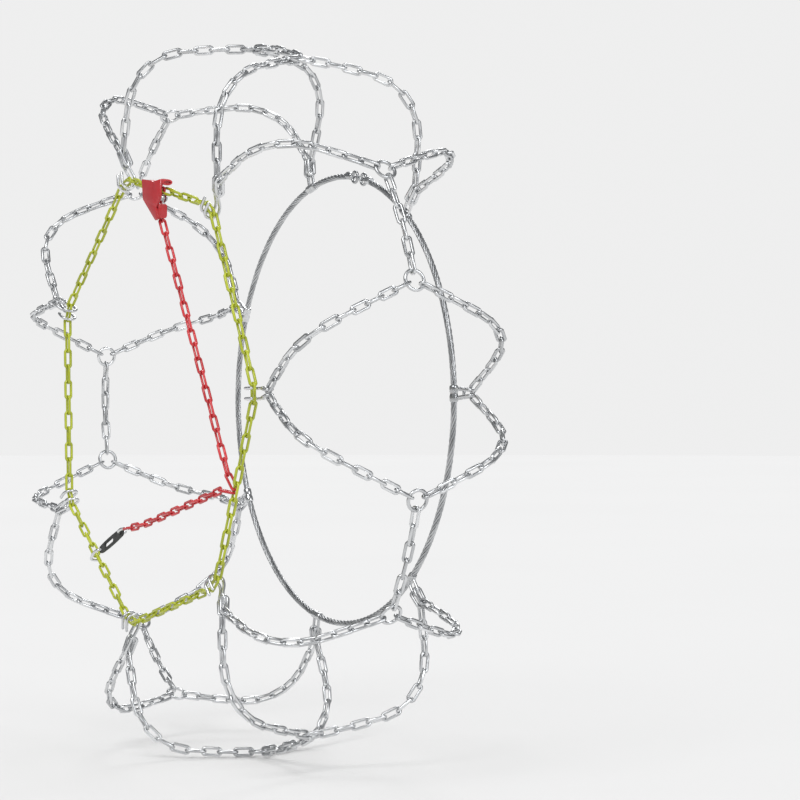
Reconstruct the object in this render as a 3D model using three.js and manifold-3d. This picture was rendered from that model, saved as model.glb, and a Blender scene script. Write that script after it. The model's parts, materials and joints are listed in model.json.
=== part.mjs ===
// Tyre snow chain, diamond pattern, as it lies on the wheel.
// Millimetres, +Z up, origin at the wheel's centre, axle along Y.
// The outer side, with the side chain and its tensioner, faces -Y; the inner cable faces +Y.

import * as THREE from "three";
import { mergeVertices } from "three/addons/utils/BufferGeometryUtils.js";
import Module from "manifold-3d";

const wasm = await Module();
wasm.setup();

// ---- Driving dimensions ----

// Tyre that the chain is laid on
const tyreRadius = 346.5;
const tyreHalfWidth = 103.5;
const treadCrown = 3; // fall of the tread from its centre to its edge
const shoulderRadius = 44.5;
const chainLift = 5.5; // chain centre above the rubber

// Stations: a hook on the outer side chain faces a hook on the inner cable
const stations = 7;
const firstStationAngle = THREE.MathUtils.degToRad(1.5);
const ringSpread = THREE.MathUtils.degToRad(16.25); // tread ring from its station

// Side chain and inner cable
const sideRadius = 229.3; // side chain corner at a hook, from the axle
const sideOffset = 105.8; // side chain's and cable's plane, from the wheel's mid plane
const sideWidth = 9.4; // across the side chain's links
const cableWire = 6;
const couplingHalf = 17; // cable's end from the middle of its coupling
const eyeCentre = 9; // coupling eye from that middle
const eyeRadius = 7;
const eyeWire = 3;

// Cross chains and tread rings
const crossWidth = 10;
const crossEndAway = 1.2; // cross chain's end beyond the side chain's plane
const ringMean = 9.6;
const ringWire = 3.4;

// Hooks
const hookWire = 3;
const hookSpacing = 9.5; // between a hook's two prongs
const hookReach = 18.4; // side chain centre to the hook's closed end
const hookTip = 9; // prong's free end above the side chain centre
const hookLean = 5; // closed end further from the wheel than the prongs' backs

// Tensioner, drawn as [along, out]: along the side chain, and out from the axle
const sheet = 2;
const cheekGap = 11.6;
const rollerCentre = [-1.7, -5.9];
const pawlCentre = [-22.5, -6];
const anchorCentre = [-25, 2];
const chainMeeting = 7; // past the roller's centre, where the side chain turns into the tension chain
const rollerRadius = 3.2;
const rollerFlange = 4.6;
const rollerPinRadius = 1.5;
const anchorPinRadius = 2.5;
const pawlPinRadius = 2;
const pawlThickness = 5;
const springRadius = 4;
const springWidth = 2.4;

// Tension chain, its tail, and the rubber strap
const redWidth = 8.6;
const redOffset = 112.2; // tension chain's plane, from the wheel's mid plane
const loopClear = 10; // tension chain's ends from the side chain's centre there
const loopShare = 0.5; // where the tension chain is led through the side chain
const catchShare = 0.48; // where the strap's end hook catches the side chain
const strapRise = THREE.MathUtils.degToRad(22);
const strapLength = 60.6;
const strapWaist = 9.4;
const strapEnd = 7.6;
const strapThickness = 3;
const strapHole = 2.1;
const slotLength = 24;
const slotWidth = 4.4;
const endHookLength = 26; // strap's far hole to the side chain's centre
const swivelLength = 13; // strap's near hole to the end of the tail chain

// Clearances
const gap = 0.5; // between neighbouring pieces
const runningGap = 0.3; // round pins and rollers

// ---- Materials ----

const finish = (color, roughness, metalness) =>
  new THREE.MeshStandardMaterial({ color, roughness, metalness });
const zinc = finish(0xd4d6d8, 0.35, 0.9);
const yellowPaint = finish(0xc3d22e, 0.45, 0.2);
const redPaint = finish(0xd8303c, 0.4, 0.1);
const steel = finish(0xb8babd, 0.3, 0.9);
const rubber = finish(0x4a4c4a, 0.75, 0);

// ---- Solids ----

const group = new THREE.Group();

function add(name, geometry, material) {
  const mesh = new THREE.Mesh(geometry, material);
  mesh.name = name;
  group.add(mesh);
  return mesh;
}

function toManifold(geometry) {
  const bare = geometry.clone();
  bare.deleteAttribute("normal");
  bare.deleteAttribute("uv");
  const merged = mergeVertices(bare, 1e-4);
  return new wasm.Manifold(
    new wasm.Mesh({
      numProp: 3,
      vertProperties: merged.attributes.position.array,
      triVerts: new Uint32Array(merged.index.array),
    }),
  );
}

function toGeometry(solid) {
  const mesh = solid.getMesh();
  const geometry = new THREE.BufferGeometry();
  geometry.setAttribute("position", new THREE.BufferAttribute(mesh.vertProperties, 3));
  geometry.setIndex(new THREE.BufferAttribute(mesh.triVerts, 1));
  const flat = geometry.toNonIndexed();
  flat.computeVertexNormals();
  return flat;
}

const join = (...parts) => toGeometry(parts.map(toManifold).reduce((a, b) => a.add(b)));
const cut = (body, ...tools) =>
  toGeometry(tools.map(toManifold).reduce((a, b) => a.subtract(b), toManifold(body)));

// A round bar along a smooth route
function bar(points, radius, steps, sides = 8) {
  const rim = Array.from({ length: sides }, (_, i) => {
    const a = (2 * Math.PI * i) / sides;
    return new THREE.Vector2(radius * Math.cos(a), radius * Math.sin(a));
  });
  return new THREE.ExtrudeGeometry(new THREE.Shape(rim), {
    steps,
    extrudePath: new THREE.CatmullRomCurve3(points, false, "centripetal"),
  });
}

// A ball that fills the bend between two bars
const knotAt = (p, radius) => new THREE.IcosahedronGeometry(radius, 1).translate(p.x, p.y, p.z);

// A cylinder whose axis is Y, from y0 to y1
function drum(x, z, radius, y0, y1, sides = 16) {
  const cylinder = new THREE.CylinderGeometry(radius, radius, Math.abs(y1 - y0), sides);
  return cylinder.translate(x, (y0 + y1) / 2, z);
}

const shapeOf = (pairs) => new THREE.Shape(pairs.map(([x, z]) => new THREE.Vector2(x, z)));

// An outline in the XZ plane, given as [x, z] pairs or a Shape, filled from y0 to y1
function plate(outline, y0, y1) {
  const shape = Array.isArray(outline) ? shapeOf(outline) : outline;
  return new THREE.ExtrudeGeometry(shape, { depth: Math.abs(y1 - y0), bevelEnabled: false })
    .rotateX(Math.PI / 2)
    .translate(0, Math.max(y0, y1), 0);
}

const vec = (x, y, z) => new THREE.Vector3(x, y, z);

// A point at a radius and angle round the axle, y along it
const polar = (radius, angle, y) => vec(radius * Math.cos(angle), y, radius * Math.sin(angle));

// ---- Lay of the cross chains over the tyre ----

const stationAngle = (k) => firstStationAngle + (2 * Math.PI * k) / stations;
const layRadius = tyreRadius + chainLift;
const layHalfWidth = tyreHalfWidth + chainLift;
const layShoulder = shoulderRadius + chainLift;
const hookEndRadius = sideRadius + hookReach;
const crossEndRadius = hookEndRadius + (hookWire + crossWidth) / 2 + gap;
const crossEndOffset = sideOffset + crossEndAway;

// Half section of the lay, as [y, radius] from the tread's centre to the hook
function layProfile() {
  const flat = layHalfWidth - layShoulder;
  const edge = layRadius - treadCrown;
  const pieces = 16;
  const share = (i) => i / pieces;
  const range = Array.from({ length: pieces + 1 }, (_, i) => share(i));
  const tread = range.map((t) => [flat * t, layRadius - treadCrown * t * t]);
  const shoulder = range.slice(1).map((t) => {
    const a = (Math.PI / 2) * t;
    return [flat + layShoulder * Math.sin(a), edge - layShoulder * (1 - Math.cos(a))];
  });
  const wallTop = edge - layShoulder;
  const wall = range.slice(1).map((t) => [
    layHalfWidth + (crossEndOffset - layHalfWidth) * t * t,
    wallTop + (crossEndRadius - wallTop) * t,
  ]);
  return [...tread, ...shoulder, ...wall];
}

// Shortest line over the tyre from a tread ring to its hook: radius times the sine of its slope stays
// the same along it. Returns samples of [length from the ring, y, radius, angle from the station].
function shortestLine() {
  const profile = layProfile();
  const turnFor = (constant) => {
    let angle = 0;
    let length = 0;
    const samples = [[0, profile[0][0], profile[0][1], 0]];
    for (let i = 1; i < profile.length; i++) {
      const [y0, r0] = profile[i - 1];
      const [y1, r1] = profile[i];
      const r = (r0 + r1) / 2;
      const along = Math.hypot(y1 - y0, r1 - r0);
      const slope = constant / Math.sqrt(r * r - constant * constant);
      angle += (along * slope) / r;
      length += along * Math.hypot(1, slope);
      samples.push([length, y1, r1, angle]);
    }
    return samples;
  };
  let low = 0;
  let high = crossEndRadius * 0.999;
  for (let i = 0; i < 60; i++) {
    const middle = (low + high) / 2;
    if (turnFor(middle).at(-1)[3] < ringSpread) low = middle;
    else high = middle;
  }
  return turnFor(low).map(([length, y, r, angle]) => [length, y, r, ringSpread - angle]);
}

const line = shortestLine();
const lineLength = line.at(-1)[0];

function lineAt(distance) {
  const i = Math.max(1, line.findIndex(([length]) => length >= distance));
  const [a, b] = [line[i - 1], line[i]];
  const t = (distance - a[0]) / (b[0] - a[0]);
  return a.map((value, j) => value + (b[j] - value) * t);
}

const ringClear = ringMean + ringWire / 2 + gap;

// One arm of a cross chain: side -1 is the outer side, turn is the way round to its ring
function crossArm(station, side, turn) {
  const count = 14;
  const points = Array.from({ length: count }, (_, i) => {
    const distance = ringClear + ((lineLength - ringClear) * i) / (count - 1);
    const [, y, r, angle] = lineAt(Math.min(distance, lineLength - 1e-6));
    return polar(r, stationAngle(station) + turn * angle, side * y);
  });
  return bar(points, crossWidth / 2, 8);
}

function crossChain(station, side) {
  const end = polar(crossEndRadius, stationAngle(station), side * crossEndOffset);
  return join(crossArm(station, side, 1), crossArm(station, side, -1), knotAt(end, crossWidth / 2));
}

for (let k = 0; k < stations; k++) {
  add(`outer_cross_chain_${k + 1}`, crossChain(k, -1), zinc);
  add(`inner_cross_chain_${k + 1}`, crossChain(k, 1), zinc);
}

// Tread rings, two for each station, flat on the tread
function treadRing(angle) {
  return new THREE.TorusGeometry(ringMean, ringWire / 2, 6, 12)
    .rotateY(Math.PI / 2)
    .translate(layRadius, 0, 0)
    .rotateY(-angle);
}

// A length of chain along the tread's centre, from one station's ring to the next station's
function treadChain(k) {
  const clear = ringClear / layRadius;
  const from = stationAngle(k) + ringSpread + clear;
  const to = stationAngle(k + 1) - ringSpread - clear;
  const count = 6;
  const points = Array.from({ length: count }, (_, i) =>
    polar(layRadius, from + ((to - from) * i) / (count - 1), 0),
  );
  return bar(points, crossWidth / 2, 5);
}

for (let k = 0; k < stations; k++) {
  add(`tread_ring_${2 * k + 1}`, treadRing(stationAngle(k) - ringSpread), zinc);
  add(`tread_ring_${2 * k + 2}`, treadRing(stationAngle(k) + ringSpread), zinc);
  add(`tread_chain_${k + 1}`, treadChain(k), zinc);
}

// ---- Outer hooks: one bent wire, two prongs round the side chain ----

const halfTurn = Math.PI / stations; // the side chain's corner at a hook, to each side
const cornerDrop = (hookSpacing / 2) * Math.tan(halfTurn); // side chain's centre under a prong
const hookBend = sideWidth / 2 / Math.cos(halfTurn) + hookWire / 2 + gap;

// A point at a station: out from the axle, round the wheel, and away from the mid plane
function atStation(k, radial, along, away, side) {
  const angle = stationAngle(k);
  const tangent = vec(-Math.sin(angle), 0, Math.cos(angle));
  return polar(sideRadius + radial, angle, side * (sideOffset + away)).addScaledVector(tangent, along);
}

function outerHook(k) {
  const at = (radial, along, away) => atStation(k, radial, along, away, -1);
  const half = hookSpacing / 2;
  const lean = hookLean - hookBend;
  const diagonal = hookBend * Math.SQRT1_2;
  const prong = (along) => [
    at(hookTip - cornerDrop, along, hookBend),
    at(-cornerDrop, along, hookBend),
    at(-cornerDrop - diagonal, along, diagonal),
    at(-cornerDrop - hookBend, along, 0),
    at(-cornerDrop - diagonal, along, -diagonal),
    at(-cornerDrop, along, -hookBend),
    at(hookReach - half, along, lean),
  ];
  const closedEnd = [0.7, 0, -0.7].map((t) =>
    at(hookReach - half * (1 - Math.sqrt(1 - t * t)), t * half, lean),
  );
  return bar([...prong(half), ...closedEnd, ...prong(-half).reverse()], hookWire / 2, 25, 6);
}

for (let k = 0; k < stations; k++) add(`outer_hook_${k + 1}`, outerHook(k), zinc);

// ---- Side chain: straight from hook to hook, open at the tensioner ----

const corner = (k) => polar(sideRadius, stationAngle(k), -sideOffset);

// The tensioner's own axes, at the middle of the straight between stations 1 and 2
const tensionerAngle = stationAngle(1.5);
const tensionerMiddle = polar(sideRadius * Math.cos(halfTurn), tensionerAngle, 0);
const alongAxis = vec(Math.sin(tensionerAngle), 0, -Math.cos(tensionerAngle));
const outAxis = vec(Math.cos(tensionerAngle), 0, Math.sin(tensionerAngle));

function inTensioner([along, out], y = -redOffset) {
  const p = tensionerMiddle.clone().addScaledVector(alongAxis, along).addScaledVector(outAxis, out);
  return vec(p.x, y, p.z);
}

const sideEntry = inTensioner([
  rollerCentre[0] + chainMeeting + gap,
  rollerCentre[1] + rollerRadius + redWidth / 2 + gap,
]);
const sideAnchor = inTensioner([anchorCentre[0] - anchorPinRadius - gap, anchorCentre[1]]);

function sideChain() {
  const corners = Array.from({ length: stations }, (_, i) => corner((8 - i) % stations));
  const stops = [sideEntry, ...corners, sideAnchor];
  const straights = stops.slice(1).map((stop, i) => bar([stops[i], stop], sideWidth / 2, 1));
  return join(...straights, ...corners.map((p) => knotAt(p, sideWidth / 2)));
}

add("side_chain", sideChain(), yellowPaint);

// ---- Inner cable with its crimped hooks, and its coupling ----

function cableHook(k) {
  const at = (radial, along) => atStation(k, radial, along, 0, 1);
  const half = hookSpacing / 2;
  const wire = bar(
    [at(0, half), at(hookReach - half, half), at(hookReach, 0), at(hookReach - half, -half), at(0, -half)],
    hookWire / 2,
    9,
    6,
  );
  const crimp = bar([at(0, half + hookWire), at(0, -half - hookWire)], cableWire / 2 + 1.2, 1);
  return [wire, crimp];
}

// A point at the coupling: out from the axle, round the wheel, away from the mid plane
const atCoupling = (radial, along, away) => atStation(1.5, radial, along, away, 1);

// Each end of the cable carries an eye; sign tells which end
function couplingEye(sign) {
  const centre = atCoupling(0, sign * eyeCentre, 0);
  const ring = new THREE.TorusGeometry(eyeRadius - eyeWire / 2, eyeWire / 2, 6, 14)
    .rotateX(Math.PI / 2)
    .translate(centre.x, centre.y, centre.z);
  const inner = atCoupling(0, sign * (eyeCentre + eyeRadius - eyeWire / 2), 0);
  const outer = atCoupling(0, sign * couplingHalf, 0);
  return [ring, bar([inner, outer], eyeWire / 2 + 0.6, 1)];
}

function cableHoop() {
  const turn = couplingHalf / sideRadius;
  const from = tensionerAngle + turn;
  const to = tensionerAngle + 2 * Math.PI - turn;
  const count = 43;
  const points = Array.from({ length: count }, (_, i) =>
    polar(sideRadius, from + ((to - from) * i) / (count - 1), sideOffset),
  );
  const hooks = Array.from({ length: stations }, (_, k) => cableHook(k)).flat();
  return join(bar(points, cableWire / 2, 42, 6), ...hooks, ...couplingEye(1), ...couplingEye(-1));
}

add("inner_cable_hoop", cableHoop(), steel);

// U-shaped hook whose legs stand in the two eyes
function couplingHook() {
  const points = [
    [eyeCentre, -5],
    [eyeCentre, 3],
    [eyeCentre - 3, 6],
    [-eyeCentre + 3, 6],
    [-eyeCentre, 3],
    [-eyeCentre, -5],
  ].map(([along, away]) => atCoupling(0, along, away));
  return bar(points, hookWire / 2, 18, 6);
}

add("cable_coupling_hook", couplingHook(), steel);

// ---- Tensioner ----

const cheekFront = -redOffset - cheekGap / 2;
const cheekBack = -redOffset + cheekGap / 2;
const toPlane = (pairs) =>
  pairs.map((pair) => {
    const p = inTensioner(pair);
    return [p.x, p.z];
  });
const tensionerDrum = ([along, out], radius, y0, y1, sides) => {
  const p = inTensioner([along, out]);
  return drum(p.x, p.z, radius, y0, y1, sides);
};

// Folded from one sheet: the front cheek, a rolled edge over the chain's way in, a guide flange at its
// way out, and a back cheek behind the pins
const frontOutline = [
  [-31.5, 8],
  [-9, 9.4],
  [-5, 8.6],
  [11, 13.5],
  [14, -4],
  [7, -15],
  [10.4, -17],
  [13.4, -24.5],
  [8, -27.5],
  [-25, -11],
];
const rollOutline = [
  [3, 10.4],
  [3.6, 8],
  [5.6, 7.5],
  [11, 7.7],
  [12, 9],
  [12, 11.4],
  [11, 13.2],
  [4, 11.2],
];
const flangeOutline = [
  [9.4, -10.5],
  [11, -10.5],
  [13.4, -24.5],
  [11.6, -24.5],
];
const topFold = [
  [-26.5, 7],
  [-14.5, 7.5],
  [-14.5, 9],
  [-26.5, 8.3],
];
const backOutline = [
  [-31, 7.8],
  [-14.5, 9],
  [-15.5, -12],
  [-25, -10.8],
];

function tensionerHousing() {
  const half = sheet / 2;
  const tools = [
    [anchorCentre, anchorPinRadius],
    [pawlCentre, pawlPinRadius],
  ].map(([centre, radius]) =>
    tensionerDrum(centre, radius + runningGap, cheekBack - half, cheekBack + 2 * sheet),
  );
  const sheets = join(
    plate(toPlane(frontOutline), cheekFront - sheet, cheekFront),
    plate(toPlane(flangeOutline), cheekFront - half, cheekFront + 8),
    plate(toPlane(rollOutline), cheekFront - half, cheekBack),
    plate(toPlane(topFold), cheekFront - half, cheekBack + half),
    plate(toPlane(backOutline), cheekBack, cheekBack + sheet),
  );
  return cut(sheets, ...tools);
}

// Grooved roller that the chain turns round
const rollerHalf = cheekGap / 2 - 2 * runningGap;

function chainRoller() {
  const bore = rollerPinRadius + runningGap;
  const profile = [
    [bore, -rollerHalf],
    [rollerFlange, -rollerHalf],
    [rollerFlange, -rollerHalf + 0.6],
    [rollerRadius, -rollerHalf + 1.6],
    [rollerRadius, rollerHalf - 1.6],
    [rollerFlange, rollerHalf - 0.6],
    [rollerFlange, rollerHalf],
    [bore, rollerHalf],
    [bore, -rollerHalf],
  ].map(([r, y]) => new THREE.Vector2(r, y));
  const p = inTensioner(rollerCentre);
  return new THREE.LatheGeometry(profile, 16).translate(p.x, p.y, p.z);
}

// Stud on the front cheek, with a head behind the roller
function rollerPin() {
  const back = -redOffset + rollerHalf + runningGap;
  const shank = tensionerDrum(rollerCentre, rollerPinRadius, cheekFront + runningGap, back + 0.5);
  return join(shank, tensionerDrum(rollerCentre, rollerFlange - 1, back, back + 1.2));
}

// Toothed pawl that holds the chain against the roller
function lockingPawl() {
  const [u, v] = pawlCentre;
  const y0 = -redOffset - pawlThickness / 2 - 1.5;
  const y1 = y0 + pawlThickness;
  const blade = plate(
    toPlane([
      [u - 3.2, v + 1.5],
      [u - 1, v + 3.3],
      [u + 3, v + 3],
      [u + 7.6, v + 1.8],
      [u + 8, v + 0.4],
      [u + 7.5, v - 1.2],
      [u + 4, v - 3],
      [u + 0.6, v - 3.4],
      [u - 0.6, v - 5],
      [u - 2.8, v - 4.4],
      [u - 3.4, v - 1.6],
    ]),
    y0,
    y1,
  );
  return cut(blade, tensionerDrum(pawlCentre, pawlPinRadius + runningGap, y0 - 1, y1 + 1));
}

function pawlSpring() {
  const y0 = -redOffset - 1.5 + pawlThickness / 2 + runningGap;
  const body = tensionerDrum(pawlCentre, springRadius, y0, y0 + springWidth);
  return cut(body, tensionerDrum(pawlCentre, pawlPinRadius + runningGap, y0 - 1, y0 + springWidth + 1));
}

// A pin that stands in the back cheek and reaches to the front one
const standingPin = (centre, radius) =>
  tensionerDrum(centre, radius, cheekFront + runningGap, cheekBack + sheet);

add("tensioner_housing", tensionerHousing(), redPaint);
add("chain_roller", chainRoller(), steel);
add("roller_pin", rollerPin(), steel);
add("locking_pawl", lockingPawl(), steel);
add("pawl_pin", standingPin(pawlCentre, pawlPinRadius), steel);
add("pawl_spring", pawlSpring(), steel);
add("anchor_pin", standingPin(anchorCentre, anchorPinRadius), steel);

// ---- Tension chain: over the roller, out of the tensioner and down to the side chain ----

const along = (a, b, share) => a.clone().lerp(b, share);
const redPlane = (p) => vec(p.x, -redOffset, p.z);
const loopPoint = redPlane(along(corner(0), corner(6), loopShare));
const catchPoint = along(corner(4), corner(5), catchShare);

function tensionChain() {
  const wrap = rollerRadius + redWidth / 2 + gap;
  const toLoop = loopPoint.clone().sub(tensionerMiddle);
  const loopAlong = toLoop.dot(alongAxis) - rollerCentre[0];
  const loopOut = toLoop.dot(outAxis) - rollerCentre[1];
  const distance = Math.hypot(loopAlong, loopOut);
  const leave = Math.atan2(loopOut, loopAlong) - Math.acos(wrap / distance) + 2 * Math.PI;
  const count = 10;
  const onRoller = (angle) =>
    inTensioner([rollerCentre[0] + wrap * Math.cos(angle), rollerCentre[1] + wrap * Math.sin(angle)]);
  const arc = Array.from({ length: count }, (_, i) =>
    onRoller(Math.PI / 2 + ((leave - Math.PI / 2) * i) / (count - 1)),
  );
  arc.unshift(inTensioner([rollerCentre[0] + chainMeeting, rollerCentre[1] + wrap]));
  const tangent = loopPoint.clone().sub(arc.at(-1)).normalize();
  const start = arc.at(-1).clone().addScaledVector(tangent, -1);
  const end = loopPoint.clone().addScaledVector(tangent, -loopClear);
  return join(bar(arc, redWidth / 2, 12), bar([start, end], redWidth / 2, 1));
}

add("tension_chain", tensionChain(), redPaint);

// ---- Tail: back across the wheel to the rubber strap ----

// Towards the strap's catch on the side chain, and up across the strap
const strapAxis = vec(-Math.cos(strapRise), 0, -Math.sin(strapRise));
const strapUp = vec(-Math.sin(strapRise), 0, Math.cos(strapRise));
const farHole = redPlane(catchPoint).addScaledVector(strapAxis, -endHookLength);
const holeSpacing = strapLength - strapEnd;
const nearHole = farHole.clone().addScaledVector(strapAxis, -holeSpacing);
const tailEnd = nearHole.clone().addScaledVector(strapAxis, -swivelLength);

function tailChain() {
  const direction = tailEnd.clone().sub(loopPoint).normalize();
  const start = loopPoint.clone().addScaledVector(direction, loopClear);
  return bar([start, tailEnd], redWidth / 2, 1);
}

// Leaf-shaped strap with a hole at each end and a slot in its far half
function rubberStrap() {
  const at = ([s, t]) => {
    const p = nearHole.clone().addScaledVector(strapAxis, s).addScaledVector(strapUp, t);
    return new THREE.Vector2(p.x, p.z);
  };
  const flank = Array.from({ length: 9 }, (_, i) => {
    const share = i / 8;
    const bulge = ((strapWaist - strapEnd) / 2) * Math.sin(Math.PI * share);
    return [holeSpacing * share, strapEnd / 2 + bulge];
  });
  const roundEnd = Array.from({ length: 5 }, (_, i) => {
    const a = Math.PI / 2 - (Math.PI * (i + 1)) / 6;
    return [holeSpacing + (strapEnd / 2) * Math.cos(a), (strapEnd / 2) * Math.sin(a)];
  });
  const half = [...flank, ...roundEnd];
  const otherHalf = half.map(([s, t]) => [holeSpacing - s, -t]);
  const hole = (middle, radius, straight) =>
    new THREE.Path(
      Array.from({ length: 12 }, (_, i) => {
        const a = (2 * Math.PI * (i + 0.5)) / 12;
        const s = middle + Math.sign(Math.cos(a)) * straight + radius * Math.cos(a);
        return at([s, radius * Math.sin(a)]);
      }),
    );
  const shape = new THREE.Shape([...half, ...otherHalf].map(at));
  const slotStraight = (slotLength - slotWidth) / 2;
  shape.holes.push(
    hole(0, strapHole, 0),
    hole(holeSpacing, strapHole, 0),
    hole(holeSpacing * 0.6, slotWidth / 2, slotStraight),
  );
  return plate(shape, -redOffset - strapThickness / 2, -redOffset + strapThickness / 2);
}

// A strap hook's wire: through the strap's hole at origin, then along direction, as [along, away]
function strapHook(origin, direction, route, steps) {
  const points = route.map(([s, away]) => {
    const p = origin.clone().addScaledVector(direction, s);
    return vec(p.x, -redOffset - away, p.z);
  });
  return bar(points, hookWire / 2, steps, 6);
}

const strapFace = strapThickness / 2;
const wireClear = strapFace + hookWire / 2 + 1.2;
const throughHole = [
  [0, -wireClear],
  [0, strapFace - 0.7],
  [2, wireClear],
];

function swivelHook() {
  const back = swivelLength - hookWire / 2 - gap;
  const route = [...throughHole, [back - 3.5, wireClear + 0.6], [back, 1.5], [back - 1.2, -2.6]];
  return strapHook(nearHole, strapAxis.clone().negate(), route, 16);
}

function endHook() {
  const lean = redOffset - sideOffset;
  const slant = Math.abs(strapUp.dot(corner(5).sub(corner(4)).normalize()));
  const bend = sideWidth / 2 / slant + hookWire / 2 + 2 * gap;
  const centre = endHookLength;
  const route = [
    ...throughHole,
    [7, wireClear + 0.8],
    [centre * 0.7, wireClear - 1],
    [centre, bend - lean],
    [centre + bend * 0.7, bend * 0.7 - lean],
    [centre + bend, -lean],
    [centre + bend * 0.95, -lean - 3],
  ];
  return strapHook(farHole, strapAxis, route, 26);
}

add("tail_chain", tailChain(), redPaint);
add("strap_swivel_hook", swivelHook(), steel);
add("rubber_strap", rubberStrap(), rubber);
add("strap_end_hook", endHook(), steel);

export default group;
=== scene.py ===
import json
import math
import random

import bmesh
import bpy
from mathutils import Matrix, Vector
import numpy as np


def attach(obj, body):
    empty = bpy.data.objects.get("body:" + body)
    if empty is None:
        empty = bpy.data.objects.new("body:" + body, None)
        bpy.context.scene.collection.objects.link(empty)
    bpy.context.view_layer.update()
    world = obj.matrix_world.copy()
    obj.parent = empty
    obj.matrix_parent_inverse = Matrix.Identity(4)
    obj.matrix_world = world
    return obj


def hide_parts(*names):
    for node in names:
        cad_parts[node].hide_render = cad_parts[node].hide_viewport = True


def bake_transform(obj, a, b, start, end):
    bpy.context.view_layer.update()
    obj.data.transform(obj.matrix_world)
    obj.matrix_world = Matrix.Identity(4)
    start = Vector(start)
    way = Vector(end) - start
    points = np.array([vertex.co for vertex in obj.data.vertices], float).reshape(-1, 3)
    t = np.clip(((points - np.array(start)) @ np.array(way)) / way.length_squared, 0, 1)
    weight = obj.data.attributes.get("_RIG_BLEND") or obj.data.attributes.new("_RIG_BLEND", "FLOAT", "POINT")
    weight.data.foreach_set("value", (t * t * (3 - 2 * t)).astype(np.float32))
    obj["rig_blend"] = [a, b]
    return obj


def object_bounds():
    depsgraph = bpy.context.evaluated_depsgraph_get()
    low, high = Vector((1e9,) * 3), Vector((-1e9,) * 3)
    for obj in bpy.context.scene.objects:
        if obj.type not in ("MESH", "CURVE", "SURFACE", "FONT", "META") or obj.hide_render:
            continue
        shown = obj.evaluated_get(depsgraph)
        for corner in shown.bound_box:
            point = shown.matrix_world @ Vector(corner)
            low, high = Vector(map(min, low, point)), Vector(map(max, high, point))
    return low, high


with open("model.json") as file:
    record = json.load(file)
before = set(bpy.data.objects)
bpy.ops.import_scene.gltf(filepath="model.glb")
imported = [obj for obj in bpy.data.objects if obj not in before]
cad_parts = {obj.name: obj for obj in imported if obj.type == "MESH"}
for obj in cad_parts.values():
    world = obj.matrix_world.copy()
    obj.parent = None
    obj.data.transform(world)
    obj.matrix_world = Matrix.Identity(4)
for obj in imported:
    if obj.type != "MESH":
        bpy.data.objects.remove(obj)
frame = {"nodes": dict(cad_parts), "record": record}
cadLow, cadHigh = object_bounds()
scene = bpy.context.scene
print("frame loaded:", len(frame["nodes"]), "CAD nodes")

# Everything below is worked out in millimetres and made metres when a piece is finished.
mm = 0.001
chance = random.Random(11)

jointAt = {joint["name"]: joint for joint in frame["record"]["behaviour"]["joints"]}


def polar(radius, angle, y):
    return Vector((radius * math.cos(angle), y, radius * math.sin(angle)))


# the lay of the net over the tyre

wheel = {
    "radius": 346.5,
    "halfWidth": 103.5,
    "crown": 3.0,
    "shoulder": 44.5,
    "lift": 5.5,  # chain centre above the rubber
    "sideRadius": 229.3,  # side chain's corner at a hook
    "sideOffset": 105.8,
    "stations": 7,
}

halfTurn = math.pi / wheel["stations"]


def ringAngle(number):
    x, _, z = jointAt[f"tread_ring_{number}_spin"]["pos_m"]
    return math.atan2(z, x)


ringSpread = (ringAngle(2) - ringAngle(1)) / 2
firstStation = (ringAngle(2) + ringAngle(1)) / 2


def stationAngle(k):
    return firstStation + 2 * math.pi * k / wheel["stations"]


def atStation(k, radial, along, away, side):
    # out from the axle, round the wheel and away from the mid plane
    angle = stationAngle(k)
    tangent = Vector((-math.sin(angle), 0, math.cos(angle)))
    y = side * (wheel["sideOffset"] + away)
    return polar(wheel["sideRadius"] + radial, angle, y) + tangent * along


# shader sums


class Flow:
    # a socket that takes part in sums
    def __init__(self, recipe, socket):
        self.recipe = recipe
        self.socket = socket

    def sum(self, operation, a, b):
        return self.recipe.node("ShaderNodeMath", {"operation": operation}, {0: a, 1: b})

    def __add__(self, other):
        return self.sum("ADD", self, other)

    def __radd__(self, other):
        return self.sum("ADD", other, self)

    def __sub__(self, other):
        return self.sum("SUBTRACT", self, other)

    def __rsub__(self, other):
        return self.sum("SUBTRACT", other, self)

    def __mul__(self, other):
        return self.sum("MULTIPLY", self, other)

    def __rmul__(self, other):
        return self.sum("MULTIPLY", other, self)


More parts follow.
